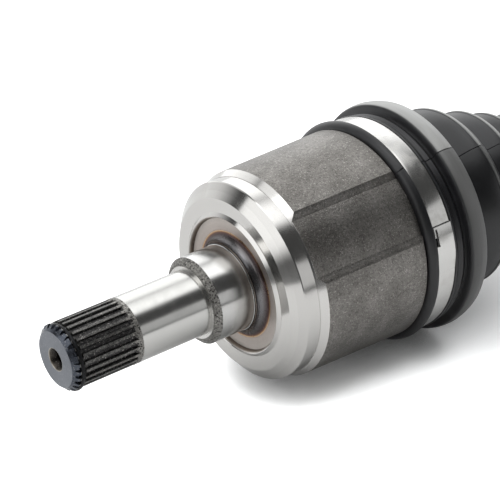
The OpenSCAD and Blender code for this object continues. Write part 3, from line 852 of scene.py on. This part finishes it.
@dataclass
class Bellows:
    """What both boots share: how a fold is drawn, the small end, and how the mould's halves meet.

    Crests and valleys run from the large end to the small one. Rings of points stand every spacing degrees,
    and close together beside the two parting lines, where the mould left a groove of line_depth. One half
    stands half_step proud of the other, and its crests get the painted highlight and wear only to dull_half.
    """

    crests: tuple[Point, ...] = ()
    valleys: tuple[Point, ...] = ()
    wall: float = 2.4
    steps: int = 14
    fullness: float = 1.15
    bead: tuple[Point, ...] = ((-0.9, -0.05), (-0.55, 0.304), (0.0, 0.38), (0.5, 0.19), (0.85, -0.35))
    shoulder: Point = (1.0, 0.5)
    cuff_bore: float = 12.75
    cuff: tuple[Point, ...] = (
        (-0.4, 16.15), (1.8, 16.1), (2.3, 15.9), (2.4, 15.1), (11.45, 15.1), (11.6, 15.8), (12.2, 16.15),
        (13.0, 16.15), (13.6, 15.7), (13.8, 14.9), (13.8, 12.75))
    spacing: float = 2.5
    close: tuple[float, ...] = (-1.6, -0.7, -0.32, 0.0, 0.32, 0.7, 1.6)
    keep_off: float = 2.4
    parting: float = 120.5
    line_half: float = 0.1
    line_depth: float = 0.34
    half_step: float = 0.10
    dull_half: float = 0.42
    wear_and_sheen_depth: float = 0.6
    worn_edge: Point = (0.35, 0.95)

    def azimuths(self) -> list[float]:
        """Place the rings of points: even ones, and close ones beside both parting lines.

        Returns:
            Their azimuths, in order.
        """
        lines = [self.parting, self.parting + 180]
        even = [self.spacing * k for k in range(round(FULL_TURN / self.spacing))]
        kept = [a for a in even if all(abs(a - line) > self.keep_off for line in lines)]
        return sorted(kept + [line + d for line in lines for d in self.close])

    def marks(self, start: Point) -> list[Point]:
        """Return a first valley and then crest and valley by turns."""
        return [start, *(mark for pair in zip(self.crests, self.valleys) for mark in pair)]

    def rise(self, start: Point, end: Point) -> Outline:
        """Draw a full, rounded flank from a valley up to a crest.

        Args:
            start: the valley.
            end: the crest.

        Returns:
            The flank's points, without the crest itself.
        """
        points = []
        for k in range(self.steps):
            t = k / self.steps
            lift = math.sin(t * math.pi / 2) ** self.fullness
            points.append((start[0] + (end[0] - start[0]) * t, start[1] + (end[1] - start[1]) * lift))
        return points

    def crest(self, top: Point, way: Hand) -> Outline:
        """Return the small bead along a crest."""
        return [(top[0] + way.value * dx, top[1] + dr) for dx, dr in self.bead]

    def fall(self, start: Point, end: Point, way: Hand) -> Outline:
        """Draw the steep flank from a crest down to the next valley.

        Args:
            start: the crest.
            end: the valley.
            way: the way along the shaft that this runs.

        Returns:
            The flank's points, without the valley itself.
        """
        x = start[0] + way.value * self.shoulder[0]
        r = start[1] - self.shoulder[1]
        points = []
        for k in range(1, self.steps):
            t = k / self.steps
            points.append((x + (end[0] - x) * t, r + (end[1] - r) * (1 - math.cos(t * math.pi)) / 2))
        return points

    def folds(self, marks: Sequence[Point], way: Hand) -> Outline:
        """Return the outside of a run of folds.

        Args:
            marks: valley, crest, valley and so on, from the boot's large end to its small one.
            way: the way along the shaft that this runs.

        Returns:
            The points of the outline, the first and last valley included.
        """
        points: Outline = []
        for low, top, after in zip(marks[::2], marks[1::2], marks[2::2]):
            rising = [point for point in self.rise(low, top) if abs(point[0] - top[0]) > self.shoulder[0]]
            points += rising + self.crest(top, way) + self.fall(top, after, way)
        return [*points, marks[-1]]

    def small_end(self, x: float, way: Hand) -> Outline:
        """Return the outside of the small end, from its neck at x to its bore."""
        return [(x + way.value * dx, r) for dx, r in self.cuff]

    def inside(self, marks: Sequence[Point], way: Hand) -> Outline:
        """Return the inside of the folds, one wall below their outside, from the small end back."""
        return [(x, r - self.wall) for x, r in reversed(self.folds(marks, way))]

    def on_line(self, azimuth: float) -> bool:
        """Say whether an azimuth lies on a parting line."""
        turn = (azimuth - self.parting) % 180
        return min(turn, 180 - turn) < self.line_half

    def on_step(self, azimuth: float) -> bool:
        """Say whether an azimuth lies on the half of the mould that stands proud."""
        return 0 < (azimuth - self.parting) % FULL_TURN < 180

    def wear_and_sheen_share(self, azimuth: float) -> float:
        """Say how much of the painted highlight and wear the crests get at an azimuth.

        Args:
            azimuth: where, in degrees.

        Returns:
            1 where they get most, and 0 in the parting lines.
        """
        if self.on_line(azimuth):
            return 0.0
        return self.dull_half if self.on_step(azimuth) else 1.0

    def ridge(self) -> Ridge:
        """Say where the outside is painted light, partly wear and partly a painted highlight: along each
        crest, but not in the parting lines.

        Returns:
            A function for turned_mesh.
        """
        def wear_and_sheen(x: float, r: float, azimuth: float) -> float:
            """Return how light one point is."""
            near = [abs(x - crest_x) for crest_x, crest_r in self.crests if r > crest_r - self.wear_and_sheen_depth]
            return (1.0 - ease(min(near), *self.worn_edge)) * self.wear_and_sheen_share(azimuth) if near else 0.0
        return wear_and_sheen

    def shift(self, outer: int, plain: Point) -> Shift:
        """Return how the mould moves the outside's points: a groove on each line and a slight mismatch.

        Args:
            outer: how many points of the outline are outside.
            plain: stations between which the surface stays plain, under a clamp.

        Returns:
            A function for turned_mesh.
        """
        def moved(i: int, x: float, r: float, azimuth: float) -> float:
            """Return the extra radius of one point."""
            if i >= outer or plain[0] <= x <= plain[1]:
                return 0.0
            side = self.half_step if self.on_step(azimuth) else 0.0
            return side - (self.line_depth if self.on_line(azimuth) else 0.0)
        return moved


@dataclass
class InnerBoot(Bellows):
    """The large boot over the tripod joint, in two pieces that meet in the valley behind the rim."""

    valley: Point = (113.0, 32.6)
    crests: tuple[Point, ...] = ((129.6, 37.7), (146.6, 31.4), (159.0, 26.9), (173.2, 22.5))
    valleys: tuple[Point, ...] = ((136.8, 30.0), (151.6, 25.8), (165.0, 21.9), (181.6, 18.1))
    neck_x: float = 186.0
    seat: Point = (85.2, 94.7)
    rim: Point = (110.2, 45.2)
    rim_back: Point = (2.8, 12.6)
    band: Edges = (101.7, 102.3, 109.2, 109.8)
    band_r: float = 46.8

    def build(self, material: Material) -> list[Piece]:
        """Make both pieces, dress them and join them to their bodies.

        Args:
            material: the rubber.

        Returns:
            The rim and the folds.
        """
        head, tail = self._head(), self._tail()
        for piece in (head, tail):
            wear(piece, material)
            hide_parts("inner_boot")
        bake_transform(head, "housing", "ring_1", start=(110.2 * MM, 0, 0), end=(self.valley[0] * MM, 0, 0))
        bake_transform(tail, "ring_1", "shaft", start=(self.valley[0] * MM, 0, 0), end=(166 * MM, 0, 0))
        return [head, tail]

    def _head(self) -> Piece:
        """Make the lip, the clamp seat and the broad rim.

        Returns:
            The rim's piece.
        """
        outside = [
            (82.0, 41.0), (82.0, 43.0), (82.15, 43.9), (82.55, 44.75), (83.2, 45.5), (84.0, 46.05),
            (84.7, 46.3), (85.05, 46.25), (85.3, 46.0), (85.42, 45.5), (85.45, 44.3), (94.55, 44.3),
            (94.6, 44.9), (94.85, 45.25), (95.3, 45.3), (96.2, 45.0), (96.9, 44.3), (97.3, 43.9),
            (97.8, 44.0), (98.4, 44.5), (99.1, 44.75), (99.7, 44.5), (100.1, 44.1), (100.5, 44.05),
            (100.8, 44.5), (101.05, 45.4), (101.3, 46.5), (101.55, 47.25), (101.8, 47.65), (102.15, 47.9),
            (102.8, 48.1), (104.0, 48.25), (105.4, 48.25), (106.6, 48.05), (107.8, 47.72), (108.8, 47.42),
            (109.3, 47.25), (109.6, 47.05), (109.85, 46.6), (110.05, 45.9), self.rim]
        (x, r), (run, drop) = self.rim, self.rim_back
        outside += [(x + run * t, r - drop * t) for t in (0.15, 0.3, 0.45, 0.6, 0.75, 0.88)]
        outside.append(self.valley)
        inside = [(113.0, 31.4), (110.8, 32.0), (109.8, 35.0), (109.0, 40.0), (108.4, 43.0), (106.5, 44.8),
                  (104.5, 45.3), (101.5, 43.0), (100.2, 41.9), (97.6, 41.4), (97.5, 41.0)]

        def wear_and_sheen(x: float, r: float, azimuth: float) -> float:
            """Return how light the rim's flat band is painted at one point: a painted highlight, partly wear.
            """
            begin, full, still, end = self.band
            light = ease(x, begin, full) * (1 - ease(x, still, end)) * self.wear_and_sheen_share(azimuth)
            return light if r > self.band_r else 0.0

        shift = self.shift(len(outside), self.seat)
        return turned_mesh("inner_boot_rim", outside + inside, self.azimuths(), shift, wear_and_sheen)

    def _tail(self) -> Piece:
        """Make the convolutions and the small end.

        Returns:
            The folds' piece.
        """
        marks, x, way = self.marks(self.valley), self.neck_x, Hand.OUTBOARD
        outside = [*self.folds(marks, way), (x - 1.2, 16.7), *self.small_end(x, way)]
        inside = [(x, self.cuff_bore), (x - 0.1, 13.7), (x - 0.8, 13.7), *self.inside(marks, way)]
        inside[-1] = (self.valley[0], self.valley[1] - 1.2)
        shift = self.shift(len(outside), (x + 2.2, x + 11.6))
        return turned_mesh("inner_boot_folds", outside + inside, self.azimuths(), shift, self.ridge())


@dataclass
class OuterBoot(Bellows):
    """The boot over the ball joint, which bends between the bar and the bell."""

    parting: float = 90.0
    throat: Point = (456.0, 37.0)
    crests: tuple[Point, ...] = ((449.5, 44.0), (436.5, 38.8), (423.5, 33.6), (410.5, 28.4), (397.5, 23.2))
    valleys: tuple[Point, ...] = ((443.0, 35.0), (430.0, 30.6), (417.0, 26.2), (404.0, 21.8), (391.0, 17.4))
    neck_x: float = 385.8
    seat: Point = (465.7, 474.95)

    def build(self, material: Material) -> list[Piece]:
        """Make the boot, dress it and bend it between the bar and the bell.

        Args:
            material: the rubber.

        Returns:
            The boot, alone.
        """
        marks, x, way = self.marks(self.throat), self.neck_x, Hand.INBOARD
        outside = [(476.5, 41.5), (476.5, 42.6), (476.3, 44.2), (475.8, 44.95), (475.2, 45.1), (474.95, 44.8),
                   (474.9, 43.9), (465.75, 43.9), (465.7, 44.8), (465.3, 45.1), (464.2, 45.1), (463.5, 44.8),
                   (462.9, 43.8), (462.2, 41.6), (461.7, 40.0), (461.0, 39.2), (458.5, 37.9),
                   *self.folds(marks, way), (x + 4.0, 16.9), (x + 1.2, 16.5), *self.small_end(x, way)]
        inside = [(x, self.cuff_bore), (x + 0.1, 13.7), (x + 4.0, 13.7), *self.inside(marks, way),
                  (464.0, 39.3), (465.0, 39.3), (465.0, 41.5)]
        shift = self.shift(len(outside), self.seat)
        piece = turned_mesh("outer_boot_folds", outside + inside, self.azimuths(), shift, self.ridge())
        wear(piece, material)
        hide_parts("outer_boot")
        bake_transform(piece, "shaft", "bell", start=(402 * MM, 0, 0), end=(464 * MM, 0, 0))
        return [piece]


@dataclass
class BandClamp:
    """A pressed steel band whose outer end laps over its inner one, with a slot for the closing tool.

    Arcs are degrees from the seam on a large clamp; a small one's are longer by small_r over its radius.
    """

    node: str
    body: str
    low_x: float
    inner_r: float
    seam: float
    width: float = 8.8
    thick: float = 0.8
    crown: float = 0.05
    slot_x: Point = (0.65, 1.45)
    far_rim: float = 0.6
    slot_arc: Point = (1.3, 10.2)
    sliver_arc: float = 5.6
    end_arc: float = 0.6
    lap_arc: float = 25.0
    taper: float = 0.6
    cell_arc: float = 3.0
    lift: float = 0.02
    overhang: float = 0.05
    small_below: float = 30.0
    small_r: float = 45.0
    bevel: float = 0.11
    bevel_angle: float = 50.0

    def build(self, material: Material) -> Piece:
        """Make the band with its lap and slot, and put it on its body.

        Args:
            material: the steel.

        Returns:
            The band.
        """
        mesh = bmesh.new()
        mesh.verts.layers.float.new("seam_shade")
        low, high = self.low_x, self.low_x + self.width
        edges = [low, low + self.slot_x[0], low + self.slot_x[1], high - self.far_rim, high]
        scale = self.small_r / self.inner_r if self.inner_r < self.small_below else 1.0
        slot_start, slot_end, sliver_end, seam_end, lap_end = (
            self.seam + arc * scale for arc in (*self.slot_arc, self.sliver_arc, self.end_arc, self.lap_arc))
        even = {round(self.seam + self.cell_arc * k, 4) for k in range(round(FULL_TURN / self.cell_arc))}
        cuts = sorted(even | {slot_start, slot_end, sliver_end, seam_end})

        def is_open(x: float, azimuth: float) -> bool:
            """Say whether a cell of the band belongs to the slot."""
            in_slot = edges[1] < x < edges[2] and slot_start < azimuth < slot_end
            return in_slot or (x < edges[1] and sliver_end < azimuth < slot_end)

        def rise(azimuth: float) -> float:
            """Return how far the lap stands up: over the band's inner end, then down to the band."""
            down = ease(azimuth, self.seam + self.lap_arc * self.taper * scale, lap_end)
            return self.thick * (1 - down) + self.lift

        self._strip(mesh, edges, cuts, is_open)
        lap_cuts = [azimuth for azimuth in cuts if azimuth <= lap_end] + [lap_end]
        self._strip(mesh, [low - self.overhang, *edges[1:-1], high + self.overhang], lap_cuts, is_open, rise)
        piece = as_object(f"{self.node}_band", mesh)
        bevel = piece.modifiers.new("edges", "BEVEL")
        bevel.width = self.bevel * MM
        bevel.segments = 2
        bevel.limit_method = "ANGLE"
        bevel.angle_limit = math.radians(self.bevel_angle)
        wear(piece, material)
        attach(piece, self.body)
        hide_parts(self.node)
        return piece

    def _strip(self, mesh: Mesh, edges: Sequence[float], azimuths: Sequence[float],
               is_open: Callable[[float, float], bool], rise: Callable[[float], float] | None = None) -> None:
        """Add one layer of the band as cells with an outside, an inside and walls where cells are missing.

        Args:
            mesh: what to add to.
            edges: stations of the cell edges.
            azimuths: azimuths of the cell edges.
            is_open: whether a cell, by its middle, is missing.
            rise: how far the lap stands up at an azimuth. A layer without it goes all the way round.
        """
        seam_shade = mesh.verts.layers.float["seam_shade"]
        total = len(azimuths)
        verts = {}
        for k, azimuth in enumerate(azimuths):
            foot = self.inner_r + (rise(azimuth) if rise else 0.0)
            for i, x in enumerate(edges):
                crown = self.crown if 0 < i < len(edges) - 1 else 0.0
                for layer in (0, 1):
                    r = foot + layer * (self.thick + crown)
                    verts[k, i, layer] = mesh.verts.new(on_shaft(x, r, math.radians(azimuth)))
                    # the lap's first column carries the painted shade of the gap under its end
                    verts[k, i, layer][seam_shade] = 1.0 if rise and k == 0 else 0.0
        cells = set()
        for k in range(total - 1 if rise else total):
            after = azimuths[k + 1] if k + 1 < total else azimuths[0] + FULL_TURN
            for i in range(len(edges) - 1):
                if not is_open((edges[i] + edges[i + 1]) / 2, (azimuths[k] + after) / 2):
                    cells.add((k, i))
        for k, i in cells:
            back, n = (k - 1) % total, (k + 1) % total
            for layer in (0, 1):
                mesh.faces.new([verts[*corner, layer] for corner in ((k, i), (n, i), (n, i + 1), (k, i + 1))])
            for beyond, one, two in (((back, i), (k, i), (k, i + 1)), ((n, i), (n, i), (n, i + 1)),
                                     ((k, i - 1), (k, i), (n, i)), ((k, i + 1), (k, i + 1), (n, i + 1))):
                if beyond not in cells:
                    mesh.faces.new((verts[*one, 0], verts[*one, 1], verts[*two, 1], verts[*two, 0]))


@dataclass
class StubCirclip:
    """The round wire ring in the stub's groove, which hangs a little low in it."""

    x: float = -57.4
    ring_r: float = 12.45
    wire_r: float = 0.85
    drop: float = 0.55
    gap: float = 24.0
    gap_at: float = 20.0
    turns: int = 132
    sides: int = 14
    sharp: float = 50.0

    def build(self, material: Material) -> Piece:
        """Make the ring and put it on the housing.

        Args:
            material: the steel.

        Returns:
            The ring.
        """
        mesh = bmesh.new()
        sections = []
        for k in range(self.turns + 1):
            a = math.radians(self.gap_at + self.gap / 2 + (FULL_TURN - self.gap) * k / self.turns)
            ring = []
            for j in range(self.sides):
                b = math.tau * j / self.sides
                x, r = self.x + self.wire_r * math.sin(b), self.ring_r + self.wire_r * math.cos(b)
                ring.append(mesh.verts.new(on_shaft(x, r, a, self.drop)))
            sections.append(ring)
        skin_sections(mesh, sections)
        piece = as_object("inboard_circlip_wire", mesh, self.sharp)
        wear(piece, material)
        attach(piece, "housing")
        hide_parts("inboard_circlip")
        return piece


@dataclass
class OutboardThread:
    """The helical ridge of the outboard thread, on the plain end of the outer housing."""

    start_x: float = 563.6
    end_x: float = 585.6
    core_r: float = 11.9
    crest_r: float = 12.28
    least_rise: float = 0.12
    crest_half: float = 0.12
    root_half: float = 0.46
    run_out: float = 0.6
    pitch: float = 1.5
    segments: int = 56
    sharp: float = 28.0

    def build(self, material: Material) -> Piece:
        """Wind the ridge and put it on the bell.

        Args:
            material: the steel.

        Returns:
            The ridge.
        """
        mesh = bmesh.new()
        turns = (self.end_x - self.start_x) / self.pitch
        half = self.pitch * self.root_half
        sections = []
        for k in range(int(turns * self.segments) + 1):
            turn = k / self.segments
            x = self.start_x + self.pitch * k / self.segments
            grow = ease(turn, 0.0, self.run_out) * (1 - ease(turn, turns - self.run_out, turns))
            top = self.core_r + self.least_rise + (self.crest_r - self.core_r - self.least_rise) * grow
            corners = ((-half, self.core_r), (-self.crest_half, top),
                       (self.crest_half, top), (half, self.core_r))
            a = math.tau * k / self.segments
            sections.append([mesh.verts.new(on_shaft(x + dx, r, a)) for dx, r in corners])
        skin_sections(mesh, sections)
        piece = as_object("outboard_thread_ridge", mesh, self.sharp)
        wear(piece, material)
        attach(piece, "bell")
        return piece


@dataclass
class PackedParts:
    """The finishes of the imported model's own nodes."""

    shop: FinishShop
    bell: Material

    def dress(self) -> None:
        """Give every node its finish: ground bearing steel, where nothing else is said."""
        shop = self.shop
        bearing, spring = shop.plain(BEARING_STEEL), shop.plain(SPRING_STEEL)
        forged = shop.plain(SPIDER_STEEL)
        chosen = {
            "inner_housing": shop.turned(HOUSING_STEEL, InboardHousing().dress), "outer_housing": self.bell,
            "shaft_bar": shop.paint(BAR_PAINT), "ball_cage": shop.plain(TEMPERED_STEEL),
            "tripod_spider": forged, "inner_race": forged,
            "housing_stop_ring": spring, "spider_circlip": spring, "inner_race_circlip": spring,
        }
        for name, node in sorted(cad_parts.items()):
            wear(node, chosen.get(name, bearing))
            LOG.info("finish on %s", name)


@dataclass(frozen=True)
class LightBox:
    """A soft-edged box of light, in degrees round the vertical from -Y and above the horizon."""

    sides: Edges
    ends: Edges
    gain: float = 1.0

    def mask(self, graph: Graph, around: Socket, height: Socket) -> Socket:
        """Return 1 where a direction meets the box, and 0 where it doesn't."""
        return graph.times(graph.between(around, self.sides), graph.between(height, self.ends))


@dataclass
class Studio:
    """The floor, the light all round and the camera.

    The floor has tones of its own for soft, mirrored and directly seen rays. Seen directly, it is painted
    lighter around lit_floor, out to lit_reach in metres, as a painted pool of light, and painted darker
    within near_reach of what stands on it, as a painted contact shadow.
    """

    floor_z: float = -48.5
    floor_half: float = 6.0
    floor_tones: Triple = (0.09, 0.55, 1.0)
    lit_floor: Triple = (0.052, -0.030, 0.0)
    lit_reach: Point = (0.012, 0.088)
    painted_light_gain: float = 2.5
    near_reach: float = 0.018
    near_edge: Point = (0.10, 0.80)
    painted_shadow_tone: float = 0.24
    near_samples: int = 8
    lamp_azimuth: float = 80.0
    lamp_height: float = 82.0
    lamp_edge: Point = (38.0, 31.0)
    lamp_lean: Triple = (0.94, -0.342, 0.0)
    lamp_gain: Step = (0.12, 0.56, 1.25, 2.3)
    left: LightBox = LightBox((228.0, 231.0, 276.0, 290.0), (6.0, 18.0, 70.0, 78.0), 1.5)
    wall: LightBox = LightBox((88.0, 112.0, 196.0, 226.0), (-24.0, -12.0, 38.0, 54.0), 1.85)
    wall_fade: Point = (196.0, 168.0)
    strip: LightBox = LightBox((16.0, 32.0, 60.0, 72.0), (1.0, 7.0, 27.0, 28.5), 0.8)
    room_gain: Step = (0.5, 0.0, 0.07, 0.2)
    room_colour: Colour = (0.985, 0.995, 1.0, 1.0)
    soft_gain: float = 2.8
    camera_place: Triple = (-0.37674, -0.52358, 0.42886)
    camera_turn: Triple = (57.847, 0.0, -37.735)
    lens: float = 146.53
    sensor: float = 36.0
    clip_start: float = 0.01

    def build(self) -> None:
        """Make all three."""
        self._floor()
        self._light()
        self._camera()
        settings = bpy.context.scene.view_settings
        settings.view_transform = "Standard"
        settings.look = "None"

    def _floor(self) -> None:
        """Make a wide pale floor just under the rim."""
        mesh = bmesh.new()
        bmesh.ops.create_grid(mesh, x_segments=8, y_segments=8, size=self.floor_half)
        floor = as_object("studio_floor", mesh)
        floor.location.z = self.floor_z * MM
        material = bpy.data.materials.new("floor_paper")
        material.use_nodes = True
        graph = Graph(material.node_tree)
        ray = graph.add("ShaderNodeLightPath").outputs
        soft, mirrored, seen = self.floor_tones
        away = graph.measure("DISTANCE", graph.point(), self.lit_floor)
        near = graph.add(
            "ShaderNodeAmbientOcclusion", {"Distance": self.near_reach}, samples=self.near_samples)
        # painted light and shadow: the directly seen floor is brightened round lit_floor and darkened where
        # ambient occlusion finds something close
        shown = graph.times(graph.step(away, *self.lit_reach, self.painted_light_gain, seen),
                            graph.step(near.outputs["AO"], *self.near_edge, self.painted_shadow_tone, 1.0))
        paper = graph.blend(ray["Is Camera Ray"], graph.spread(ray["Is Glossy Ray"], soft, mirrored), shown)
        matt = graph.add("ShaderNodeBsdfDiffuse", {"Color": paper})
        graph.feed(material.node_tree.nodes["Material Output"], {"Surface": matt.outputs[0]})
        wear(floor, material)

    def _light(self) -> None:
        """Make the light: a lamp overhead, a box to the left, a bright wall behind and a strip."""
        world = bpy.data.worlds.new("studio")
        bpy.context.scene.world = world
        world.use_nodes = True
        graph = Graph(world.node_tree)
        way = graph.add("ShaderNodeTexCoord").outputs["Generated"]
        split = graph.add("ShaderNodeSeparateXYZ", {0: way}).outputs
        azimuth = graph.math("DEGREES", graph.math("ARCTAN2", split[1], split[0]))
        around = graph.math("MODULO", graph.plus(azimuth, FULL_TURN + 90.0), FULL_TURN)
        height = graph.math("DEGREES", graph.math("ARCSINE", split[2]))
        lean = graph.measure("DOT_PRODUCT", way, self.lamp_lean)
        left, wall, strip = (box.mask(graph, around, height) for box in (self.left, self.wall, self.strip))
        total = graph.plus(graph.times(self._lamp(graph, way), graph.step(lean, *self.lamp_gain)),
                           graph.times(left, self.left.gain))
        for other in (graph.times(wall, graph.step(around, *self.wall_fade, 1.0, self.wall.gain)),
                      graph.times(strip, self.strip.gain), graph.step(split[2], *self.room_gain)):
            total = graph.math("MAXIMUM", total, other)
        ray = graph.add("ShaderNodeLightPath").outputs
        total = graph.times(total, graph.spread(ray["Is Diffuse Ray"], 1.0, self.soft_gain))
        strength = graph.blend(ray["Is Camera Ray"], total, 1.0)
        graph.feed(world.node_tree.nodes["Background"], {"Color": self.room_colour, "Strength": strength})

    def _lamp(self, graph: Graph, way: Socket) -> Socket:
        """Return how much of the round lamp overhead a direction meets.

        Args:
            graph: the world's graph.
            way: the direction.

        Returns:
            1 inside, 0 outside.
        """
        a, e = math.radians(self.lamp_azimuth), math.radians(self.lamp_height)
        centre = (math.cos(a) * math.cos(e), math.sin(a) * math.cos(e), math.sin(e))
        across = graph.measure("DOT_PRODUCT", way, centre)
        return graph.step(across, *(math.cos(math.radians(angle)) for angle in self.lamp_edge))

    def _camera(self) -> None:
        """Put the camera where the photograph was taken from."""
        data = bpy.data.cameras.new("camera")
        data.sensor_width = self.sensor
        data.lens = self.lens
        data.clip_start = self.clip_start
        camera = bpy.data.objects.new("camera", data)
        camera.location = self.camera_place
        camera.rotation_euler = [math.radians(angle) for angle in self.camera_turn]
        bpy.context.scene.collection.objects.link(camera)
        bpy.context.scene.camera = camera


def main() -> None:
    """Build the studio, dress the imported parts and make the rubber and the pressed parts."""
    logging.basicConfig(level=logging.INFO, format="%(name)s: %(message)s")
    Studio().build()
    shop = FinishShop()
    bell = shop.turned(BELL_STEEL)
    PackedParts(shop, bell).dress()
    rubber = shop.rubber(BOOT_RUBBER)
    steel = shop.plain(CLAMP_STEEL)
    pieces = [*InnerBoot().build(rubber), *OuterBoot().build(rubber)]
    for clamp in (BandClamp("inner_boot_large_clamp", "housing", low_x=85.6, inner_r=44.3, seam=152.7),
                  BandClamp("inner_boot_small_clamp", "shaft", low_x=188.5, inner_r=15.1, seam=108.0),
                  BandClamp("outer_boot_small_clamp", "shaft", low_x=374.5, inner_r=15.1, seam=48.0),
                  BandClamp("outer_boot_large_clamp", "bell", low_x=465.9, inner_r=43.9, seam=92.0)):
        pieces.append(clamp.build(steel))
    pieces.append(StubCirclip().build(shop.plain(CIRCLIP_STEEL)))
    pieces.append(OutboardThread().build(bell))
    for piece in pieces:
        LOG.info("made %s: %d faces", piece.name, len(piece.data.polygons))


if __name__ == "__main__":
    main()
